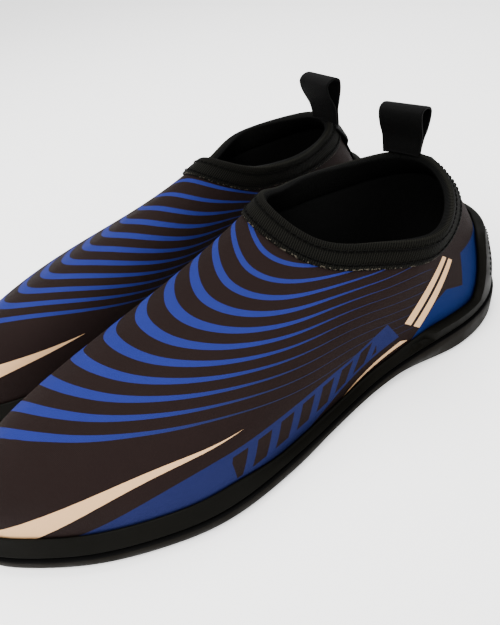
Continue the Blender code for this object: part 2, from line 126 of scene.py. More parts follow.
make_camera()
make_light("key", (0.25, -0.55, 0.95), (0.0, 0.0, 0.04), 0.9, 20.0, (1.0, 0.98, 0.95))
make_light("fill", (0.85, 0.25, 0.55), (0.03, 0.0, 0.04), 0.8, 1.2, (0.97, 0.98, 1.0))
make_light("top", (-0.35, 0.2, 0.95), (0.0, 0.0, 0.05), 0.8, 12.0, (1.0, 1.0, 1.0))
make_floor()
make_world()

# ---- sole outline: half widths at stations measured from the heel ----
SOLE_LENGTH = 295.0
HEEL_Y = 142.5
STATION = [0, 8, 25, 50, 80, 110, 140, 170, 200, 225, 252, 274, 289, 295]
OUTER_HALF = [-3, 20, 35, 42.5, 42, 41.5, 47, 53, 55.5, 50.5, 39.5, 25, 10.5, -8]
INNER_HALF = [3, 26, 39.5, 43, 40, 36, 35, 40, 46, 47.5, 45, 38, 26, 8]

# ---- heights of the sole unit ----
HEEL_SOLE = 10.0
FORE_SOLE = 5.0
LIP = 1.8
LIP_HEEL = 1.2
RAND_TOP = 14.0
RAND_WAIST_DIP = 5.0
RAND_HEEL_RISE = 5.5
GUARD_TOP = 49.0
GUARD_FLAT_ARC = 45.0
GUARD_HALF_ARC = 63.0
FRONT_GAP = 1.2
FLANK_START = 0.9
TOP_ROUND = 0.7
TREAD_DEPTH = 1.3
TREAD_WIDTH = 2.6
TREAD_PITCH = 15.0

# ---- layers of the shell ----
UPPER_INSET = 7.0
NEOPRENE = 3.0
COLLAR_NEOPRENE = 2.2
BOARD = 1.2
GAP = 0.35

# ---- rim of the collar: points every 30 degrees from the back, by the outer side ----
RIM_STATION = [(-7, 107, 82.8), (11.5, 102.5, 79.2), (27.5, 90.5, 74.8), (35.5, 73, 71.6),
               (22.5, 51, 71.6), (4, 30.5, 74.6), (-22, 22, 88.5), (-36, 36, 83),
               (-42, 51, 80), (-42.5, 67, 79), (-37, 84, 79.6), (-25.5, 101.5, 81.8)]
TAPE_RIM_Z = 81.5
BACK_SEAM_TURN = math.radians(21.0)
RIM_SPREAD = 2.2

# ---- collar trim ----
BINDING_HEIGHT = 12.5
BINDING = 1.0
STITCH_ROWS = (3.6, 10.0)
THREAD = 0.35
TAPE_WIDTH = 24.0
TAPE = 1.1
TAPE_BOTTOM_Z = 29.0
STITCH_DROP = 6.0

# ---- pull tab ----
TAB_WIDTH = 24.0
TAB_HEIGHT = {"left": 22.0, "right": 24.5}
TAB_GAP = 8.4
TAB_STRAP = 1.2
TAB_LEAN = {"left": math.radians(10.0), "right": math.radians(-6.0)}
TAB_YAW = {"left": math.radians(18.0), "right": math.radians(-3.0)}
TAB_LIFT = 1.4
TAB_FOOT_CLEAR = 0.8
TAB_TAPER = 0.14

# ---- where the boots stand ----
BOOT_AT = {"left": (51.1, 4.3), "right": (-53.4, 5.6)}
BOOT_TURN = {"left": 0.0, "right": math.radians(2.2)}

HALF_COLUMNS = 100
COLUMN_STEPS = 60


def smooth(x, lo, hi):
    """Soft step from 0 at lo to 1 at hi."""
    t = np.clip((np.asarray(x, float) - lo) / (hi - lo), 0.0, 1.0)
    return t * t * (3.0 - 2.0 * t)


def closed_spline(points, per_span=40):
    """Periodic cubic spline through the points, square root chord parameter."""
    p = np.array(points, float)
    n, size = p.shape
    chord = np.sqrt(np.linalg.norm(np.roll(p, -1, axis=0) - p, axis=1))
    a = np.zeros((n, n))
    rhs = np.zeros((n, size))
    for i in range(n):
        h0 = chord[i - 1]
        h1 = chord[i]
        a[i, i - 1] += h0
        a[i, i] += 2.0 * (h0 + h1)
        a[i, (i + 1) % n] += h1
        rhs[i] = 6.0 * ((p[(i + 1) % n] - p[i]) / h1 - (p[i] - p[i - 1]) / h0)
    m = np.linalg.solve(a, rhs)
    out = []
    for i in range(n):
        j = (i + 1) % n
        h = chord[i]
        for k in range(per_span):
            t = k / per_span
            s = 1.0 - t
            bend = ((s ** 3 - s) * m[i] + (t ** 3 - t) * m[j]) * h * h / 6.0
            out.append(s * p[i] + t * p[j] + bend)
    return np.array(out)


def walk(line, frac):
    """Points at the given fractions of the line's length."""
    line = np.asarray(line, float)
    d = np.concatenate([[0.0], np.cumsum(np.linalg.norm(np.diff(line, axis=0), axis=1))])
    at = np.asarray(frac) * d[-1]
    return np.stack([np.interp(at, d, line[:, k]) for k in range(line.shape[1])], axis=1)


def sole_columns():
    """Outline points, outward normals and heel-to-toe fraction; outer side first."""
    last = len(STATION) - 1
    pts = [(OUTER_HALF[i], HEEL_Y - STATION[i]) for i in range(last + 1)]
    pts += [(-INNER_HALF[i], HEEL_Y - STATION[i]) for i in range(last - 1, 0, -1)]
    dense = closed_spline(pts)
    toe = 40 * last
    frac = np.arange(HALF_COLUMNS + 1) / HALF_COLUMNS
    frac = 0.5 * frac + 0.25 * (1.0 - np.cos(math.pi * frac))
    outer = walk(dense[:toe + 1], frac)
    inner = walk(np.vstack([dense[toe:], dense[:1]])[::-1], frac)
    ring = np.vstack([outer, inner[-2:0:-1]])
    along = np.concatenate([frac, -frac[-2:0:-1]])
    edge = np.roll(ring, -1, axis=0) - np.roll(ring, 1, axis=0)
    normal = np.stack([-edge[:, 1], edge[:, 0]], axis=1)
    normal /= np.linalg.norm(normal, axis=1)[:, None]
    return ring, normal, along


RING, NORMAL, ALONG = sole_columns()
COLUMNS = len(RING)
PERIMETER = np.concatenate([[0.0], np.cumsum(np.linalg.norm(
    np.diff(np.vstack([RING, RING[:1]]), axis=0), axis=1))])
FROM_HEEL = np.minimum(PERIMETER[:-1], PERIMETER[-1] - PERIMETER[:-1])


def rand_top(y):
    """Height of the sidewall: low at the waist, high under the heel."""
    y = np.asarray(y, float)
    dip = smooth(y, -55.0, -20.0) * (1.0 - smooth(y, 15.0, 60.0))
    return RAND_TOP - RAND_WAIST_DIP * dip + RAND_HEEL_RISE * smooth(y, 45.0, 75.0)


def sole_top(y):
    """Height of the flat top of the outsole, which carries the board."""
    s = HEEL_Y - np.asarray(y, float)
    return HEEL_SOLE + (FORE_SOLE - HEEL_SOLE) * smooth(s, 55.0, 125.0)


def lip_top(y):
    """Height of the outsole's lip under the sidewall, where the groove shows."""
    y = np.asarray(y, float)
    return sole_top(y) + LIP + LIP_HEEL * smooth(y, 10.0, 60.0)


RIM_CURVE = closed_spline(RIM_STATION, 30)
RIM_CURVE = np.vstack([RIM_CURVE, RIM_CURVE[:1]])


def rim_point(phi):
    """Point of the rim at an angle from the back; each station counts 30 degrees."""
    at = np.mod(np.degrees(phi), 360.0)
    return np.stack([np.interp(at, np.arange(361), RIM_CURVE[:, k]) for k in range(3)], axis=-1)


def rim_angle(along):
    """Angle on the rim that belongs to a fraction of the way from heel to toe."""
    a = np.abs(along)
    g = 0.25 * a + 0.75 * (1.0 - (1.0 - a) ** RIM_SPREAD)
    return np.sign(along) * math.pi * g - BACK_SEAM_TURN * (1.0 - g) ** 2


def inset(distance):
    """The sole outline moved inwards."""
    return RING - NORMAL * distance


def upper_columns():
    """Outer face of the neoprene: one curve per column, from the board up to the rim."""
    foot = inset(UPPER_INSET)
    low = sole_top(foot[:, 1]) + GAP + BOARD + GAP
    knee = np.column_stack([foot, np.full(COLUMNS, RAND_TOP + 1.0)])
    rim = rim_point(rim_angle(ALONG))
    a = np.abs(ALONG)
    rise = 19.0 + 6.0 * smooth(a, 0.1, 0.35) + 10.0 * smooth(a, 0.45, 1.0)
    rise -= 4.0 * (ALONG < 0) * smooth(a, 0.35, 0.6) * (1.0 - smooth(a, 0.8, 1.0))
    swell = 1.0 + smooth(a, 0.1, 0.35) - 3.5 * smooth(a, 0.5, 1.0)
    p1 = knee + np.column_stack([NORMAL * swell[:, None], rise])
    run = rim[:, :2] - knee[:, :2]
    share = 0.28 + 0.08 * smooth(a, 0.1, 0.35) + 0.13 * smooth(a, 0.4, 0.9)
    drop = share * (rim[:, 2] - knee[:, 2])
    pull = 0.62 - 0.36 * smooth(a, 0.13, 0.38) + 0.17 * smooth(a, 0.4, 0.8)
    p2 = np.column_stack([rim[:, :2] - run * pull[:, None], rim[:, 2] - drop])
    t = (np.arange(COLUMN_STEPS + 1) / COLUMN_STEPS)[None, :, None]
    curve = ((1 - t) ** 3 * knee[:, None] + 3 * (1 - t) ** 2 * t * p1[:, None]
             + 3 * (1 - t) * t * t * p2[:, None] + t ** 3 * rim[:, None])
    wall = np.stack([np.column_stack([foot, low + (RAND_TOP + 1.0 - low) * k / 4])
                     for k in range(4)], axis=1)
    return np.concatenate([wall, curve], axis=1)


FACE = upper_columns()
KNEE_ROW = 4


def face_normals(grid):
    """Outward unit normals of a grid of points."""
    du = np.roll(grid, -1, axis=0) - np.roll(grid, 1, axis=0)
    dv = np.gradient(grid, axis=1)
    n = np.cross(dv, du)
    n /= np.linalg.norm(n, axis=2)[:, :, None]
    return n


FACE_NORMAL = face_normals(FACE)
ARC = np.zeros(FACE.shape[:2])
ARC[:, 1:] = np.cumsum(np.linalg.norm(np.diff(FACE, axis=1), axis=2), axis=1)
RIM_ARC = ARC[:, -1][:, None] - ARC


def crossing_sine():
    """Sine of the angle between each column and the rim."""
    rim = FACE[:, -1]
    along = np.roll(rim, -1, axis=0) - np.roll(rim, 1, axis=0)
    up = FACE[:, -1] - FACE[:, -3]
    along /= np.linalg.norm(along, axis=1)[:, None]
    up /= np.linalg.norm(up, axis=1)[:, None]
    return np.linalg.norm(np.cross(along, up), axis=1)


RIM_SINE = crossing_sine()


def sample(column, values, table):
    """Points and normals on one column where the table reads the values."""
    order = np.argsort(table)
    p = [np.interp(values, table[order], FACE[column, order, k]) for k in range(3)]
    n = [np.interp(values, table[order], FACE_NORMAL[column, order, k]) for k in range(3)]
    n = np.stack(n, axis=-1)
    return np.stack(p, axis=-1), n / np.linalg.norm(n, axis=-1, keepdims=True)


def below_rim(column, distance, off):
    """Point at a distance under the rim, off the outer face of the neoprene."""
    p, n = sample(column, distance / RIM_SINE[column], RIM_ARC[column])
    return p + n * off


def at_height(column, z, off):
    """Point of a column at a height, moved level off the neoprene."""
    p, n = sample(column, z, FACE[column, :, 2])
    flat = np.array([n[0], n[1], 0.0])
    flat /= np.linalg.norm(flat)
    return p + flat * off


def wall_slope(column, z):
    """Level part of the unit normal: 1 on a plumb wall."""
    n = sample(column, z, FACE[column, :, 2])[1]
    return math.hypot(n[0], n[1])


# ---- mesh helpers ----

def to_world(points, side):
    """Boot frame in mm to the row frame in metres; the right boot is mirrored."""
    p = np.array(points, float)
    if side == "right":
        p[:, 0] *= -1.0
    c = math.cos(BOOT_TURN[side])
    s = math.sin(BOOT_TURN[side])
    x = p[:, 0] * c - p[:, 1] * s + BOOT_AT[side][0]
    y = p[:, 0] * s + p[:, 1] * c + BOOT_AT[side][1]
    return np.stack([x, y, p[:, 2]], axis=1) * MM


def groove_shade_distance(points, side):
    """Height in mm above or below the groove for points of the row frame; it places the painted
    shade in the groove.
    """
    p = np.asarray(points, float) / MM
    x = p[:, 0] - BOOT_AT[side][0]
    y = p[:, 1] - BOOT_AT[side][1]
    along = y * math.cos(BOOT_TURN[side]) - x * math.sin(BOOT_TURN[side])
    return np.abs(p[:, 2] - lip_top(along) - GAP / 2)


def volume(points, faces):
    total = 0.0
    for f in faces:
        a = points[f[0]]
        for k in range(1, len(f) - 1):
            total += np.dot(a, np.cross(points[f[k]], points[f[k + 1]]))
    return total


def piece(name, points, faces, body, mats, facemat=None, attributes=None, smooth_shade=True):
    """One object in the row frame with its faces pointing out."""
    points = np.asarray(points, float)
    if volume(points, faces) < 0.0:
        faces = [tuple(reversed(f)) for f in faces]
    mesh = bpy.data.meshes.new(name)
    mesh.from_pydata([tuple(p) for p in points], [], [tuple(f) for f in faces])
    for mat in mats:
        mesh.materials.append(mat)
    if facemat is not None:
        mesh.polygons.foreach_set("material_index", np.asarray(facemat, np.int32))
    for key, values in (attributes or {}).items():
        values = np.asarray(values, float)
        if values.ndim == 1:
            mesh.attributes.new(key, "FLOAT", "POINT").data.foreach_set("value", values)
        else:
            mesh.attributes.new(key, "FLOAT_VECTOR", "POINT").data.foreach_set(
                "vector", values.ravel())
    mesh.polygons.foreach_set("use_smooth", [smooth_shade] * len(mesh.polygons))
    mesh.update()
    ob = bpy.data.objects.new(name, mesh)
    bpy.context.scene.collection.objects.link(ob)
    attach(ob, body)
    return ob


def grid_faces(count, width, wrap_rows, wrap_columns):
    """Quads between successive rows of points, each row holding width points."""
    faces = []
    for i in range(count if wrap_rows else count - 1):
        j = (i + 1) % count
        for k in range(width if wrap_columns else width - 1):
            m = (k + 1) % width
            faces.append((i * width + k, j * width + k, j * width + m, i * width + m))
    return faces


def capped(count, width):
    faces = grid_faces(count, width, False, True)
    faces.append(tuple(range(width)))
    faces.append(tuple((count - 1) * width + k for k in range(width)))
    return faces


def ladder(ids):
    """Flat fill of a closed column ring: rungs between outer and inner columns."""
    n = HALF_COLUMNS
    out = ids[:n + 1]
    inn = [ids[0]] + list(ids[:n - 1:-1])
    faces = [(out[0], out[1], inn[1])]
    for i in range(1, n - 1):
        faces.append((out[i], out[i + 1], inn[i + 1], inn[i]))
    faces.append((out[n - 1], out[n], inn[n - 1]))
    return faces


def slab(layers):
    """Closed plate: stacked column rings, filled below and above."""
    verts = np.vstack(layers)
    faces = []
    for r in range(len(layers) - 1):
        for i in range(COLUMNS):
            j = (i + 1) % COLUMNS
            faces.append((r * COLUMNS + i, r * COLUMNS + j,
                          (r + 1) * COLUMNS + j, (r + 1) * COLUMNS + i))
    faces += ladder(list(range(COLUMNS)))
    top = (len(layers) - 1) * COLUMNS
    faces += ladder(list(range(top, top + COLUMNS)))
    return verts, faces


def layer(distance, z):
    """The inset sole outline at the heights that z gives for each y."""
    xy = inset(distance)
    return np.column_stack([xy, z(xy[:, 1])])


# ---- material helpers ----

class Tree:
    """Short names for building one material's nodes."""

    def __init__(self, name, roughness=0.6):
        self.mat = bpy.data.materials.new(name)
        self.mat.use_nodes = True
        self.nodes = self.mat.node_tree.nodes
        self.links = self.mat.node_tree.links
        self.shader = self.nodes["Principled BSDF"]
        self.shader.inputs["Roughness"].default_value = roughness

    def put(self, value, socket):
        if isinstance(value, bpy.types.NodeSocket):
            self.links.new(value, socket)
        elif isinstance(value, (tuple, list)) and len(value) == 3 and socket.type == "RGBA":
            socket.default_value = (*value, 1.0)
        else:
            socket.default_value = value

    def math(self, op, a, b=0.0, c=None):
        node = self.nodes.new("ShaderNodeMath")
        node.operation = op
        self.put(a, node.inputs[0])
        self.put(b, node.inputs[1])
        if c is not None:
            self.put(c, node.inputs[2])
        return node.outputs[0]

    def ramp(self, value, lo, hi, to_lo=0.0, to_hi=1.0):
        node = self.nodes.new("ShaderNodeMapRange")
        for k, v in enumerate((value, lo, hi, to_lo, to_hi)):
            self.put(v, node.inputs[k])
        return node.outputs[0]

    def mix(self, fac, a, b):
        node = self.nodes.new("ShaderNodeMix")
        node.data_type = "RGBA"
        self.put(fac, node.inputs[0])
        self.put(a, node.inputs[6])
        self.put(b, node.inputs[7])
        return node.outputs[2]

    def attribute(self, name):
        node = self.nodes.new("ShaderNodeAttribute")
        node.attribute_name = name
        return node

    def noise(self, scale, detail=2.0, vector=None):
        node = self.nodes.new("ShaderNodeTexNoise")
        node.inputs["Scale"].default_value = scale
        node.inputs["Detail"].default_value = detail
        if vector is None:
            vector = self.objects()
        self.links.new(vector, node.inputs["Vector"])
        return node.outputs["Fac"]

    def objects(self):
        return self.nodes.new("ShaderNodeTexCoord").outputs["Object"]

    def split(self, vector):
        node = self.nodes.new("ShaderNodeSeparateXYZ")
        self.links.new(vector, node.inputs[0])
        return node.outputs

    def colour(self, value):
        self.put(value, self.shader.inputs["Base Color"])

    def bump(self, height, distance, strength=1.0):
        node = self.nodes.new("ShaderNodeBump")
        node.inputs["Distance"].default_value = distance
        node.inputs["Strength"].default_value = strength
        self.links.new(height, node.inputs["Height"])
        old = self.shader.inputs["Normal"]
        if old.is_linked:
            self.links.new(old.links[0].from_socket, node.inputs["Normal"])
        self.links.new(node.outputs[0], self.shader.inputs["Normal"])

    def knit(self, wale, course):
        """Height of a fine knit: rows of loops, wale and course apart in mm."""
        across, down, _ = self.vector("cloth")
        bend = (across * (math.pi / wale)).do("SINE").do("ABSOLUTE")
        loops = (down * (2 * math.pi / course) + bend * 3.0).do("SINE")
        return (bend * 0.6 + loops * 0.4).socket

    def vector(self, name):
        """The three numbers of a vector attribute, ready for arithmetic."""
        return [Field(self, s) for s in self.split(self.attribute(name).outputs["Vector"])]

    def number(self, name):
        return Field(self, self.attribute(name).outputs["Fac"])


class Field:
    """A number that varies over the surface; arithmetic on it adds math nodes."""

    def __init__(self, tree, socket):
        self.tree = tree
        self.socket = socket

    def do(self, op, other=0.0, third=None):
        if isinstance(other, Field):
            other = other.socket
        return Field(self.tree, self.tree.math(op, self.socket, other, third))

    def __add__(self, other):
        return self.do("ADD", other)

    def __sub__(self, other):
        return self.do("SUBTRACT", other)

    def __mul__(self, other):
        return self.do("MULTIPLY", other)

    def __neg__(self):
        return self * -1.0

    def power(self, exponent):
        return self.do("MAXIMUM", 0.0).do("POWER", exponent)

    def least(self, *others):
        out = self
        for other in others:
            out = out.do("MINIMUM", other)
        return out

    def most(self, *others):
        out = self
        for other in others:
            out = out.do("MAXIMUM", other)
        return out

    def above(self, level=0.0):
        """One where the field is over the level, zero elsewhere."""
        return self.do("GREATER_THAN", level)


JERSEY = (0.0078, 0.0044, 0.0040)
STRIPE_BLUE = (0.0118, 0.0182, 0.124)
HAIRLINE_BLUE = (0.010, 0.013, 0.030)
PANEL_BLUE = (0.0086, 0.0120, 0.057)
HEEL_BLUE = (0.0030, 0.0100, 0.060)
CREAM = (0.62, 0.375, 0.19)

# ---- marks on the side, in mm of the boot frame ----
BAR_PITCH = 12.5
BAR_LEAN = 8.0
BARS_FROM_Y = -48.0
BARS_TO_Y = 38.0
TWIN_Y = 71.5
TWIN_Z = 39.5
TWIN_HALF_WIDTH = 5.4
TWIN_HALF_GAP = 1.1
TWIN_HALF_LENGTH = 18.0


def streak_field(x, y, z):
    """Light streak from the toe: lower on the outer side, where it also runs further back."""
    outer = x.above(-4.0)
    run = outer * 36.0 - 74.0 - y
    bend = (-y - (-outer * 43.0 + 100.0)) * 0.0128
    roof = -bend.power(2.2) * 15.5 + 33.8
    thick = run * 0.055 + (run * 0.0156).power(5.0) + (-outer + 1.0) * run * 0.06
    return (roof - z).least(z - (roof - thick), run)


def panel_edges(y):
    """Height of the upper and lower edge of the blue side panel."""
    front = (-y - 50.0) * (1.0 / 65.0)
    rear = (y - 20.0) * (1.0 / 25.0)
    roof = -front.power(1.8) * 17.3 + rear.power(1.5) * 6.4 + 28.4
    floor = (y - 9.4) * 0.235 + 12.8
    return roof, floor


def jersey_material():
    """Printed face: stripes, side panel with slanted bars, heel patch and light marks."""
    t = Tree("printed_jersey", 0.78)
    x, y, z = t.vector("boot")
    duty = t.number("stripe_width")
    stripe = (duty * 0.5 - t.number("stripe").do("PINGPONG", 0.5)).above() * duty.above(0.02)
    tone = t.noise(55.0, 3.0)
    grain = t.noise(1400.0, 2.0)

    def vary(colour, spread):
        return t.mix(tone, tuple((1.0 - spread) * v for v in colour),
                     tuple((1.0 + spread) * v for v in colour))

    worn = tuple(1.8 * v for v in JERSEY)
    base = t.mix(t.math("MULTIPLY", grain, 0.45), vary(JERSEY, 0.15), worn)
    fade = t.number("stripe_fade")
    blue = t.mix(fade.socket, vary(STRIPE_BLUE, 0.1), HAIRLINE_BLUE)
    colour = t.mix(stripe.socket, base, blue)

    roof, floor = panel_edges(y)
    end = (-y + 51.8) * 0.86 + (-z + 23.2) * 0.51
    panel = (roof - z).least(z - floor, end)
    low = floor.most(12.0)
    level = (z - low).do("DIVIDE", (roof - low).most(1.0))
    phase = (y - level * BAR_LEAN) * (1.0 / BAR_PITCH)
    bars = (-phase.do("PINGPONG", 0.5) + 0.30).least(
        level - 0.14, -level + 0.86, y - BARS_FROM_Y, -y + BARS_TO_Y)
    blue = t.mix(bars.above().socket, vary(PANEL_BLUE, 0.12), base)
    colour = t.mix(panel.above().socket, colour, blue)

    diagonal = (y - 66.7) * 0.76 - (z - 23.8) * 0.65
    patch = diagonal.least((y - 74.7) * 0.5 + 33.2 - z, -(y - 81.5) * 0.336 + 36.6 - z)
    patch = patch.most((y - 94.0).least(-z + 50.0))
    colour = t.mix(patch.above().socket, colour, vary(HEEL_BLUE, 0.1))

    light = streak_field(x, y, z)
    sliver = ((y - 17.0) * 0.275 + 9.2 - z).least(
        z - 8.5 - (y - 17.0) * 0.215, -(y - 53.1) * 0.43 + 19.2 - z)
    beside = ((y - TWIN_Y) * 0.77 - (z - TWIN_Z) * 0.64).do("ABSOLUTE")
    length = (y - TWIN_Y) * 0.64 + (z - TWIN_Z) * 0.77
    twins = (-beside + TWIN_HALF_WIDTH - length * 0.04).least(
        beside - TWIN_HALF_GAP, -length.do("ABSOLUTE") + TWIN_HALF_LENGTH)
    light = light.most(twins, sliver)
    colour = t.mix(light.above().socket, colour, vary(CREAM, 0.04))
    t.colour(colour)
    t.shader.inputs["Specular IOR Level"].default_value = 0.05
    t.bump(t.knit(0.55, 0.5), 0.00006)
    t.bump(t.noise(160.0, 3.0), 0.00012)
    return t.mat


def lining_material():
    t = Tree("black_lining", 0.95)
    t.colour(t.mix(t.noise(900.0), (0.0006, 0.0007, 0.0007), (0.0018, 0.0020, 0.0019)))
    t.shader.inputs["Specular IOR Level"].default_value = 0.1
    t.bump(t.knit(0.9, 0.8), 0.0001)
    return t.mat


def binding_material():
    """Ribbed stretch tape: pale specks on its cut edge, a painted highlight along its rounded top
    and painted shade on the half that turns into the collar.
    """
    t = Tree("ribbed_binding", 0.78)
    across, down, _ = t.vector("cloth")
    ribs = (across * (2 * math.pi / 1.1)).do("SINE")
    rows = (down * (2 * math.pi / 0.7)).do("SINE")
    cloth = t.mix(t.ramp(ribs.socket, -1.0, 1.0), (0.0004, 0.0004, 0.0003),
                  (0.0056, 0.0055, 0.0040))
    row = (down - 3.2).do("ABSOLUTE").least((down - 9.9).do("ABSOLUTE"))
    cloth = t.mix(((-row + 0.55).above() * 0.75).socket, cloth, (0.0003, 0.0003, 0.0002))
    # painted highlight: a lighter band along the rounded top of the tape, where it turns over the
    # rim and catches the light
    painted_fold_highlight = (down - 14.6).above() * (-down + 16.4).above()
    cloth = t.mix((painted_fold_highlight * 0.35).socket, cloth, (0.010, 0.010, 0.0075))
    specks = Field(t, t.noise(800.0, 1.0)).above(0.57) * (-down + 1.6).above()
    cloth = t.mix((specks * 0.8).socket, cloth, (0.075, 0.064, 0.048))
    # painted shade: the tape turns darker where it goes over into the collar, out of the light
    inside = t.ramp(down.socket, 16.4, 17.6)
    t.colour(t.mix(inside, cloth, (0.0011, 0.0012, 0.0011)))
    t.shader.inputs["Specular IOR Level"].default_value = 0.05
    t.bump((ribs + rows * 0.5).socket, 0.00016)
    t.bump(t.noise(400.0, 3.0), 0.0001)
    return t.mat


def rubber_material(name, colour, roughness, grain):
    """Moulded rubber, with painted shade: near black along the groove between the sidewall and the
    outsole.
    """
    t = Tree(name, roughness)
    tone = t.noise(40.0, 4.0)
    rubber = t.mix(tone, tuple(0.75 * v for v in colour), tuple(1.3 * v for v in colour))
    # painted shade: the colour turns near black close to the groove, where the gap between sidewall
    # and outsole lies in shadow
    t.colour(t.mix(t.ramp(t.number("groove").socket, 0.9, 0.5), rubber, (0.0001, 0.0001, 0.0001)))
    t.put(t.ramp(t.noise(90.0, 3.0), 0.3, 0.7, roughness - 0.08, roughness + 0.1),
          t.shader.inputs["Roughness"])
    t.shader.inputs["Specular IOR Level"].default_value = 0.05
    t.bump(t.noise(1500.0, 2.0), grain)
    t.bump(t.noise(120.0, 2.0), grain * 1.5)
    return t.mat


def webbing_material(name, colour, rib, yarn):
    t = Tree(name, 0.7)
    across, down, _ = t.vector("cloth")
    weave = (across * (2 * math.pi / rib)).do("SINE") * (down * (2 * math.pi / yarn)).do("SINE")
    t.colour(t.mix(t.ramp(weave.socket, -1.0, 1.0), colour, tuple(2.6 * v for v in colour)))
    t.shader.inputs["Specular IOR Level"].default_value = 0.05
    t.bump(weave.socket, 0.00012)
    return t.mat


def thread_material():
    t = Tree("black_thread", 0.85)
    t.colour(t.mix(t.noise(2500.0), (0.0008, 0.0008, 0.0007), (0.0022, 0.0022, 0.0019)))
    t.shader.inputs["Specular IOR Level"].default_value = 0.05
    return t.mat


def foam_material():
    t = Tree("footbed_cloth", 0.95)
    t.colour(t.mix(t.noise(1200.0), (0.0015, 0.0015, 0.0015), (0.005, 0.005, 0.005)))
    t.shader.inputs["Specular IOR Level"].default_value = 0.15
    t.bump(t.noise(1800.0, 1.0), 0.0001)
    return t.mat


def board_material():
    t = Tree("felted_board", 0.95)
    t.colour(t.mix(t.noise(700.0, 4.0), (0.11, 0.11, 0.11), (0.21, 0.21, 0.21)))
    t.bump(t.noise(900.0, 3.0), 0.0001)
    return t.mat


PRINTED = jersey_material()
LINING = lining_material()
KNIT = binding_material()
SIDE_RUBBER = rubber_material("sidewall_rubber", (0.0018, 0.0017, 0.0011), 0.6, 0.00003)
SOLE_RUBBER = rubber_material("sole_rubber", (0.0030, 0.0022, 0.0011), 0.65, 0.00004)
WEBBING = webbing_material("tab_webbing", (0.0004, 0.0004, 0.0004), 1.1, 0.9)
TAPE_WEB = webbing_material("heel_webbing", (0.0007, 0.0007, 0.0007), 1.2, 0.8)
THREAD_BLACK = thread_material()
FOAM = foam_material()
BOARD_FELT = board_material()

# ---- the print on the jersey: one family of stripes per boot, y in mm against number n ----
LOW_NUMBER = -2.0
HIGH_NUMBER = 15.0
NUMBER_STEP = 0.25
LAST_STRIPE = 11
STRIPE_TIP = {"left": (16.4, -8.33, -0.467), "right": (13.0, -9.6, -0.196)}
STRIPE_CENTRE = {"left": (13.3, 2.72, -0.713), "right": (12.6, -1.76, 0.194)}
STRIPE_OUTER_END = (51.4, 3.23)
STRIPE_INNER_END = (-37.5, -1.4)
FAN_OUTER_Y = 82.0
FAN_INNER_Y = 94.0
FAN_POWER = 0.9
FAN_ROUND = 0.02
RIDGE_STOP_Y = 23.0
RIDGE_SOFT = 8.0


def ridge_distance(points):
    """Signed distance across the vamp from its ridge line, seen along the boot."""
    ridge = FACE[HALF_COLUMNS, KNEE_ROW:]
    order = np.argsort(ridge[:, 1])
    y = RIDGE_STOP_Y - RIDGE_SOFT * np.log1p(np.exp((RIDGE_STOP_Y - points[:, 1]) / RIDGE_SOFT))
    x = np.interp(y, ridge[order, 1], ridge[order, 0])
    z = np.interp(y, ridge[order, 1], ridge[order, 2])
    return np.hypot(points[:, 0] - x, z - points[:, 2]) * np.sign(points[:, 0] - x)


def stripe_tip(n, side):
    """Where stripe n comes nearest the toe."""
    a, b, c = STRIPE_TIP[side]
    return a + b * n + c * n * n


def rounded_power(q):
    """Rises from 0 to 1 like a power of q, but flat at the start."""
    low = FAN_ROUND ** FAN_POWER
    return ((q * q + FAN_ROUND) ** FAN_POWER - low) / ((1.0 + FAN_ROUND) ** FAN_POWER - low)


def stripe_y(n, d, side):
    """Where stripe n crosses the lines at distance d from the ridge."""
    a, b, c = STRIPE_CENTRE[side]
    outer = STRIPE_OUTER_END[0] + STRIPE_OUTER_END[1] * n
    inner = STRIPE_INNER_END[0] + STRIPE_INNER_END[1] * n
    centre = max(inner + 6.0, a + b * n + c * n * n)
    q = np.where(d > centre, (d - centre) / (outer - centre), (centre - d) / (centre - inner))
    fan = np.where(d > centre, FAN_OUTER_Y, FAN_INNER_Y)
    lift = np.sqrt(np.maximum(1.0 - rounded_power(np.clip(q, 0.0, 0.9995)), 1e-4))
    return fan - (fan - stripe_tip(n, side)) * lift


def stripe_number(points, side):
    """Number of the stripe through each point."""
    d = ridge_distance(points)
    steps = np.arange(LOW_NUMBER, HIGH_NUMBER + 0.01, NUMBER_STEP)
    table = np.array([stripe_y(n, d, side) - points[:, 1] for n in steps])
    number = np.full(len(points), LOW_NUMBER)
    for k in range(len(points)):
        below = np.nonzero(table[:, k] < 0.0)[0]
        if len(below) == 0:
            number[k] = HIGH_NUMBER
        elif below[0] > 0:
            i = below[0]
            f = table[i - 1, k] / (table[i - 1, k] - table[i, k])
            number[k] = steps[i - 1] + NUMBER_STEP * f
    return number, d


def print_attributes(points, side):
    """Stripe number, share of blue in each stripe and how far it has faded."""
    number, d = stripe_number(points, side)
    run = points[:, 1] - stripe_tip(number, side)
    longer = 1.0 + 0.06 * np.maximum(number - 5.0, 0.0)
    width = 0.39 - 0.33 * smooth(run / longer, 5.0, 95.0)
    width *= 0.6 + 0.4 * smooth(number, 1.0, 5.0)
    last = 1.0 - smooth(number, LAST_STRIPE + 0.4, LAST_STRIPE + 0.6)
    width *= smooth(number, 0.4, 0.6) * last
    fan = np.where(d > 0, FAN_OUTER_Y, FAN_INNER_Y)
    width *= 1.0 - smooth(points[:, 1], fan - 16.0, fan - 6.0)
    fade = smooth(run, 30.0, 105.0) * 0.9
    return {"stripe": number, "stripe_width": width, "stripe_fade": fade, "boot": points}


# ---- the pieces ----

def column_rows(distances):
    """Outer face points and normals of every column at the given arc distances."""
    pts = np.zeros((COLUMNS, len(distances(0)), 3))
    nor = np.zeros_like(pts)
    for c in range(COLUMNS):
        pts[c], nor[c] = sample(c, distances(c), RIM_ARC[c])
    return pts, nor


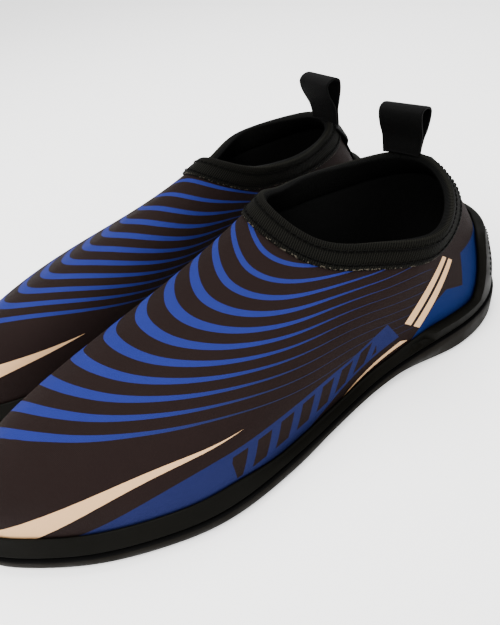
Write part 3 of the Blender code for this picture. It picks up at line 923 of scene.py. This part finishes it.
def upper(side):
    """Neoprene shell: printed outer face, rim under the binding and dark lining."""
    rows = 46

    def distances(c):
        stop = (BINDING_HEIGHT + 2.0) / RIM_SINE[c]
        start = RIM_ARC[c, 0]
        knee = RIM_ARC[c, KNEE_ROW]
        body = knee + (stop - knee) * np.arange(rows) / (rows - 1)
        rim = np.array([BINDING_HEIGHT, BINDING_HEIGHT * 0.5, BINDING + GAP]) / RIM_SINE[c]
        return np.concatenate([[start], body, rim])

    pts, nor = column_rows(distances)
    count = pts.shape[1]
    arc = np.array([distances(c) for c in range(COLUMNS)])
    thick = np.full(count, NEOPRENE)
    thick[-3:] = COLLAR_NEOPRENE
    inner = pts - nor * thick[None, :, None]
    rings = np.concatenate([pts, inner[:, ::-1]], axis=1)
    width = rings.shape[1]
    verts = rings.reshape(-1, 3)
    faces = grid_faces(COLUMNS, width, True, True)
    lining = [0 if (f[0] % width) < count - 1 else 1 for f in faces]
    around = np.repeat(PERIMETER[:-1] * 0.8, width)
    arcs = np.concatenate([arc, arc[:, ::-1]], axis=1).reshape(-1)
    attributes = print_attributes(verts, side)
    attributes["cloth"] = np.stack([around, arcs, np.zeros(len(arcs))], axis=1)
    ob = piece(side + "_neoprene_upper", to_world(verts, side), faces, side + "_boot",
               [PRINTED, LINING], lining, attributes)
    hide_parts(side + "_upper")


def around_rim(distance, off):
    """Closed line round the collar at a distance below the rim, off the neoprene."""
    return np.array([below_rim(c, distance, off) for c in range(COLUMNS)])


def length_along(line):
    """Running length at each point of a line."""
    return np.concatenate([[0.0], np.cumsum(np.linalg.norm(np.diff(line, axis=0), axis=1))])


def collar_binding(side):
    """Tape folded over the rim, with a furrow under each row of stitches."""
    out = GAP
    back = -COLLAR_NEOPRENE - GAP
    mid = 0.5 * (out + back)
    section = [(BINDING_HEIGHT, out), (BINDING_HEIGHT, out + BINDING * 0.6),
               (BINDING_HEIGHT - 0.5, out + BINDING * 0.95),
               (BINDING_HEIGHT - 1.8, out + BINDING * 1.05),
               (10.4, out + BINDING * 0.95), (10.0, out + BINDING * 0.8),
               (9.6, out + BINDING * 0.95), (8.2, out + BINDING * 1.1),
               (6.8, out + BINDING * 1.12), (5.4, out + BINDING * 1.1),
               (4.0, out + BINDING * 0.95), (3.6, out + BINDING * 0.8),
               (3.2, out + BINDING * 0.95), (2.2, out + BINDING * 1.1),
               (1.2, out + BINDING), (0.6, out + BINDING * 0.7), (0.2, out + BINDING * 0.25),
               (0.0, mid), (0.2, back - BINDING * 0.25), (0.6, back - BINDING * 0.7),
               (1.2, back - BINDING), (6.2, back - BINDING), (BINDING_HEIGHT - 0.5, back - BINDING),
               (BINDING_HEIGHT, back - BINDING * 0.6), (BINDING_HEIGHT, back),
               (6.2, back), (BINDING, back), (BINDING, out), (6.2, out)]
    lines = np.stack([around_rim(d, off) for d, off in section], axis=1)
    verts = lines.reshape(-1, 3)
    faces = grid_faces(COLUMNS, len(section), True, True)
    around = length_along(lines[:, 8])
    run = np.concatenate([[0.0], np.cumsum([abs(section[i + 1][0] - section[i][0])
                          + abs(section[i + 1][1] - section[i][1])
                          for i in range(len(section) - 1)])])
    cloth = np.stack([np.repeat(around, len(section)), np.tile(run, COLUMNS),
                      np.zeros(len(verts))], axis=1)
    ob = piece(side + "_binding", to_world(verts, side), faces, side + "_boot", [KNIT],
               None, {"cloth": cloth})
    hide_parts(side + "_collar_binding")
    return ob


def stitch_row(line, outward, length, space, radius, closed=True):
    """Short rounded stitches laid end to end along a line of points."""
    if closed:
        line = np.vstack([line, line[:1]])
        outward = np.vstack([outward, outward[:1]])
    d = length_along(line)
    total = d[-1]
    count = int(total / (length + space))
    pitch = total / count
    verts = []
    faces = []
    sides = 6
    profile = [(-0.5, 0.35, -0.35), (-0.42, 0.8, -0.1), (-0.2, 1.0, 0.1), (0.2, 1.0, 0.1),
               (0.42, 0.8, -0.1), (0.5, 0.35, -0.35)]
    for i in range(count):
        mid = (i + 0.5) * pitch
        base = len(verts)
        for step, size, lift in profile:
            at = mid + step * (pitch - space)
            p = np.array([np.interp(at, d, line[:, k]) for k in range(3)])
            q = np.array([np.interp(at + 0.2, d, line[:, k]) for k in range(3)])
            n = np.array([np.interp(at, d, outward[:, k]) for k in range(3)])
            n /= np.linalg.norm(n)
            t = q - p
            if np.linalg.norm(t) < 1e-6:
                t = p - np.array([np.interp(at - 0.2, d, line[:, k]) for k in range(3)])
            t /= np.linalg.norm(t)
            b = np.cross(t, n)
            for s in range(sides):
                a = 2 * math.pi * s / sides
                out = n * (size * math.cos(a) + lift) + b * size * math.sin(a)
                verts.append(p + radius * out)
        faces += [tuple(base + v for v in f) for f in capped(len(profile), sides)]
    return np.array(verts), faces


def rim_normals(distance):
    """Outward normals round the collar at a distance below the rim."""
    return np.array([sample(c, distance / RIM_SINE[c], RIM_ARC[c])[1] for c in range(COLUMNS)])


def collar_stitches(side):
    """Both rows of thread on the binding."""
    for row, name in zip(STITCH_ROWS, ("high", "low")):
        line = around_rim(row, GAP + BINDING * 1.1 + THREAD * 0.5)
        verts, faces = stitch_row(line, rim_normals(row), 2.3, 0.7, THREAD)
        ob = piece(side + "_binding_thread_" + name, to_world(verts, side), faces,
                   side + "_boot", [THREAD_BLACK])
        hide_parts(side + "_collar_stitch_" + name)


def guard_top(distance, y):
    """Height of the rubber edge at a distance round the sole from the back seam."""
    low = rand_top(y)
    return low + (GUARD_TOP - low) * (1.0 - smooth(distance, GUARD_FLAT_ARC, GUARD_HALF_ARC))


def guard_room(distance):
    """Inner offset of the guard: room for the heel tape and a gap along its front edge."""
    front = smooth(distance, 36.0, 46.0) * (1.0 - smooth(distance, 66.0, 78.0))
    return GAP + 0.05 + 1.6 * (1.0 - smooth(distance, 15.5, 28.0)) + 0.5 * FRONT_GAP * front


def guard_offset(c, z, top, z0):
    """Outer surface of the sidewall measured from the face of the neoprene."""
    room = float(guard_room(FROM_HEEL[c]))
    low = float(rand_top(RING[c, 1]))
    lean = float(np.clip((z - z0) / (min(low, RAND_TOP) - TOP_ROUND - z0), 0.0, 1.0))
    share = (top - low) / (GUARD_TOP - low)
    edge = min(top - z, GUARD_HALF_ARC - 4.0 - FROM_HEEL[c])
    thick = 1.3 + 2.4 * share * float(smooth(top - z, 0.0, 26.0))
    thick += 1.2 * share * float(smooth(edge, 7.0, 9.0))
    surface = 1.5 * (1 - lean) + (UPPER_INSET - room - thick) * lean
    return UPPER_INSET - surface


def sidewall(side):
    """Rubber band round the boot that rises into the heel guard."""
    levels = 26
    rings = []
    for c in range(COLUMNS):
        groove = float(lip_top(RING[c, 1]))
        top = float(guard_top(FROM_HEEL[c], RING[c, 1]))
        room = float(guard_room(FROM_HEEL[c]))
        floor = FACE[c, 0, 2] + 0.01
        ring = [np.array([*(RING[c] - NORMAL[c] * 2.4), groove + GAP]),
                np.array([*(RING[c] - NORMAL[c] * 1.8), groove + GAP + 0.15])]
        z0 = groove + GAP + FLANK_START
        for k in range(levels):
            z = z0 + (top - TOP_ROUND - z0) * k / (levels - 1)
            off = guard_offset(c, z, top, z0)
            p = at_height(c, max(z, floor), off)
            p[2] = z
            ring.append(p)
        lip = guard_offset(c, top - TOP_ROUND, top, z0)
        for part, drop in ((0.85, 0.35), (0.6, 0.08), (0.3, 0.0)):
            ring.append(at_height(c, top - drop, room + (lip - room) * part))
        for k in range(levels):
            z = top - 0.3 - (top - 0.3 - z0) * k / (levels - 1)
            p = at_height(c, max(z, floor), room)
            p[2] = z
            ring.append(p)
        low = inset(UPPER_INSET - room)[c]
        ring.append(np.array([*low, groove + GAP]))
        rings.append(ring)
    verts = np.array(rings).reshape(-1, 3)
    faces = grid_faces(COLUMNS, len(rings[0]), True, True)
    verts = to_world(verts, side)
    ob = piece(side + "_rubber_rand", verts, faces, side + "_boot", [SIDE_RUBBER], None,
               {"groove": groove_shade_distance(verts, side)})
    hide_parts(side + "_sidewall")


def tread_bars():
    """Slanted bars that cut the tread grooves, mirrored about the middle."""
    verts = []
    faces = []
    count = int((SOLE_LENGTH - 24.0) / TREAD_PITCH)
    for i in range(count):
        y = HEEL_Y - 20.0 - i * TREAD_PITCH
        for hand in (-1, 1):
            base = len(verts)
            for x in (3.0 * hand, 70.0 * hand):
                skew = abs(x) * 0.22
                for dy in (-TREAD_WIDTH / 2, TREAD_WIDTH / 2):
                    for z in (-2.0, TREAD_DEPTH):
                        verts.append((x, y + dy + skew, z))
            faces += [tuple(base + k for k in f) for f in
                      ((0, 1, 3, 2), (4, 6, 7, 5), (0, 4, 5, 1),
                       (2, 3, 7, 6), (0, 2, 6, 4), (1, 5, 7, 3))]
    return np.array(verts), faces


def outsole(side):
    """Tread sole with rounded edges and a lip under the sidewall."""
    s = HEEL_Y - RING[:, 1]
    waist = 3.5 * smooth(s, 55.0, 90.0) * (1.0 - smooth(s, 110.0, 165.0))
    rings = [np.column_stack([RING - NORMAL * (3.0 + waist)[:, None], np.zeros(COLUMNS)]),
             np.column_stack([RING - NORMAL * (2.5 + waist)[:, None], np.full(COLUMNS, 0.1)]),
             np.column_stack([RING - NORMAL * (1.6 + waist * 0.85)[:, None],
                              np.full(COLUMNS, 0.9)]),
             np.column_stack([RING - NORMAL * (0.5 + waist * 0.7)[:, None],
                              np.full(COLUMNS, 1.9)]),
             layer(0.15, lambda y: sole_top(y) - 1.2),
             layer(0.1, lambda y: lip_top(y) - 0.7),
             layer(0.5, lambda y: lip_top(y) - 0.15),
             layer(2.0, lip_top), layer(6.2, lip_top), layer(6.4, sole_top)]
    verts, faces = slab(rings)
    ob = piece(side + "_tread_sole", to_world(verts, side), faces, side + "_boot", [SOLE_RUBBER])
    bars, bar_faces = tread_bars()
    cutter = piece("cutter", to_world(bars, side), bar_faces, side + "_boot", [SOLE_RUBBER])
    cut = ob.modifiers.new("tread", "BOOLEAN")
    cut.operation = "DIFFERENCE"
    cut.solver = "EXACT"
    cut.object = cutter
    bpy.context.view_layer.update()
    done = bpy.data.meshes.new_from_object(
        ob.evaluated_get(bpy.context.evaluated_depsgraph_get()))
    ob.modifiers.clear()
    ob.data = done
    bpy.data.objects.remove(cutter, do_unlink=True)
    done.set_sharp_from_angle(angle=math.radians(40.0))
    at = np.array([v.co for v in done.vertices])
    done.attributes.new("groove", "FLOAT", "POINT").data.foreach_set(
        "value", groove_shade_distance(at, side))
    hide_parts(side + "_outsole")


def footbed(side):
    """Foam footbed with a raised edge."""
    edge = UPPER_INSET + NEOPRENE + 1.0

    def low(y):
        return sole_top(y) + GAP + BOARD + GAP

    def lip(y):
        return low(y) + 3.5 + 2.5 * smooth(y, 20.0, 90.0)

    def floor(y):
        return low(y) + 3.0
    rings = [layer(edge, low), layer(edge, lambda y: lip(y) - 0.5),
             layer(edge + 0.3, lambda y: lip(y) - 0.1), layer(edge + 0.8, lip),
             layer(edge + 1.6, lambda y: lip(y) - 0.2),
             layer(edge + 3.5, lambda y: 0.5 * (lip(y) + floor(y))),
             layer(edge + 5.5, lambda y: floor(y) + 0.3), layer(edge + 8.0, floor)]
    verts, faces = slab(rings)
    ob = piece(side + "_foam_footbed", to_world(verts, side), faces, side + "_boot", [FOAM])
    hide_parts(side + "_footbed")


def across_back(z, reach, off):
    """Points at one height at signed distances from the back seam."""
    span = 34
    order = [c % COLUMNS for c in range(-span, span + 1)]
    pts = np.array([at_height(c, z, off / wall_slope(c, z)) for c in order])
    d = length_along(pts)
    d -= d[span]
    return np.stack([np.interp(reach, d, pts[:, k]) for k in range(3)], axis=1)


def tape_offset(z):
    """Clearance of the heel tape from the neoprene: it steps out over the binding."""
    edge = TAPE_RIM_Z - BINDING_HEIGHT - 1.0
    return GAP + (BINDING * 1.1 + 2 * THREAD + 0.55) * float(smooth(z, edge - 6.0, edge))


def heel_tape(side):
    """Webbing down the back seam, from under the tab into the guard."""
    top = TAPE_RIM_Z - 2.0
    steps = 36
    half = TAPE_WIDTH / 2
    near = np.linspace(-half + 0.3, half - 0.3, 13)
    rings = []
    cloth = []
    for k in range(steps + 1):
        z = TAPE_BOTTOM_Z + (top - TAPE_BOTTOM_Z) * k / steps
        off = tape_offset(z)
        inner = across_back(z, near, off)
        edge_a = across_back(z, np.array([half]), off + TAPE * 0.5)
        edge_b = across_back(z, np.array([-half]), off + TAPE * 0.5)
        outer = across_back(z, near[::-1], off + TAPE)
        rings.append(np.vstack([inner, edge_a, outer, edge_b]))
        reach = np.concatenate([near, [half], near[::-1], [-half]])
        cloth.append(np.stack([reach, np.full(len(reach), z), np.zeros(len(reach))], axis=1))
    verts = np.array(rings).reshape(-1, 3)
    faces = capped(len(rings), len(rings[0]))
    ob = piece(side + "_back_tape", to_world(verts, side), faces, side + "_boot", [TAPE_WEB],
               None, {"cloth": np.array(cloth).reshape(-1, 3)})
    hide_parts(side + "_heel_tape")


def guard_stitch(side):
    """Row of thread inside the edge of the heel guard, turned down at both ends."""
    line = []
    outward = []
    for c in range(-HALF_COLUMNS // 2, HALF_COLUMNS // 2):
        i = c % COLUMNS
        if FROM_HEEL[i] > GUARD_HALF_ARC - 13.0:
            continue
        top = float(guard_top(FROM_HEEL[i], RING[i, 1]))
        z0 = float(lip_top(RING[i, 1])) + GAP + FLANK_START
        z = float(guard_top(FROM_HEEL[i] + 7.0, RING[i, 1])) - STITCH_DROP
        off = guard_offset(i, z, top, z0)
        line.append(at_height(i, z, off + THREAD * 0.5))
        outward.append(at_height(i, z, off + 5.0) - at_height(i, z, off))
    verts, faces = stitch_row(np.array(line), np.array(outward), 1.6, 1.1, THREAD, False)
    ob = piece(side + "_guard_thread", to_world(verts, side), faces, side + "_boot",
               [THREAD_BLACK])
    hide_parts(side + "_guard_stitch")


def tab_lines(height):
    """Outer and inner side view of the webbing loop, matched point by point."""
    steps = 22
    bend = 3.4

    def half_gap(t):
        return (TAB_GAP / 2) * float(smooth(t, 0.22, 0.95))
    outer = []
    inner = []
    for k in range(steps + 1):
        t = k / steps
        z = (height - bend) * t
        outer.append((TAB_STRAP + half_gap(t), z))
        inner.append((max(0.06, half_gap(t) + 0.05), z))
    wide = outer[-1][0]
    slim = inner[-1][0]
    top = outer[-1][1]
    for q in range(1, 16):
        a = math.pi * q / 16
        outer.append((wide * math.cos(a), top + bend * math.sin(a)))
        inner.append((slim * math.cos(a), top + (bend - TAB_STRAP) * math.sin(a)))
    outer += [(-y, z) for y, z in outer[steps::-1]]
    inner += [(-y, z) for y, z in inner[steps::-1]]
    return np.array(outer), np.array(inner)


def tab_foot(reach, rim, yaw):
    """How far the foot of the webbing hangs under the hinge line to meet the rim."""
    line = FACE[:, -1]
    foot = rim + np.stack([reach, 0 * reach, 0 * reach], axis=1) @ yaw.T
    near = [np.argmin(np.hypot(*(line[:, :2] - p[:2]).T)) for p in foot]
    drop = np.clip(rim[2] - line[near, 2], 0.0, 3.0)
    corner = 0.6 * (reach / TAB_WIDTH * 2.0) ** 2
    return TAB_LIFT + TAB_STRAP - TAB_FOOT_CLEAR + 0.9 * drop + corner


def pull_tab(side):
    """Loop of webbing on the back of the collar, narrower at its foot."""
    outer, inner = tab_lines(TAB_HEIGHT[side])
    run = length_along(outer)
    half = TAB_WIDTH / 2
    reach = np.concatenate([[-half, -half + 0.15], np.linspace(-half + 0.7, half - 0.7, 11),
                            [half - 0.15, half]])
    edge = np.array([0.25, 0.06] + [0.0] * 11 + [0.06, 0.25])
    rings = []
    cloth = []
    for i in range(len(outer)):
        mid = 0.5 * (outer[i] + inner[i])
        loop = []
        for x, e in zip(reach, edge):
            p = outer[i] + (mid - outer[i]) * e * 1.6
            loop.append((x, p[0], p[1]))
        for x, e in zip(reach[::-1], edge[::-1]):
            p = inner[i] + (mid - inner[i]) * e * 1.6
            loop.append((x, p[0], p[1]))
        rings.append(loop)
        cloth += [(v[0], run[i], 0.0) for v in loop]
    verts = np.array(rings).reshape(-1, 3)
    faces = capped(len(rings), len(rings[0]))
    rim = below_rim(0, 0.0, -COLLAR_NEOPRENE / 2)
    lean = np.array(Matrix.Rotation(-TAB_LEAN[side], 3, "X"))
    yaw = np.array(Matrix.Rotation(TAB_YAW[side], 3, "Z"))
    verts[:, 0] *= 1.0 - TAB_TAPER * np.clip(1.0 - verts[:, 2] / 10.0, 0.0, 1.0)
    verts[:, 2] -= tab_foot(verts[:, 0], rim, yaw) * np.clip(1.0 - verts[:, 2] / 7.0, 0.0, 1.0)
    verts = verts @ lean.T @ yaw.T
    verts = verts + np.array([rim[0], rim[1], rim[2] + TAB_LIFT + TAB_STRAP])
    ob = piece(side + "_heel_loop", to_world(verts, side), faces, side + "_tab", [WEBBING],
               None, {"cloth": np.array(cloth)})
    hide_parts(side + "_pull_tab")


for side in ("left", "right"):
    upper(side)
    collar_binding(side)
    collar_stitches(side)
    sidewall(side)
    outsole(side)
    footbed(side)
    heel_tape(side)
    guard_stitch(side)
    pull_tab(side)
    node = frame["nodes"][side + "_insole_board"]
    node.data.materials.clear()
    node.data.materials.append(BOARD_FELT)
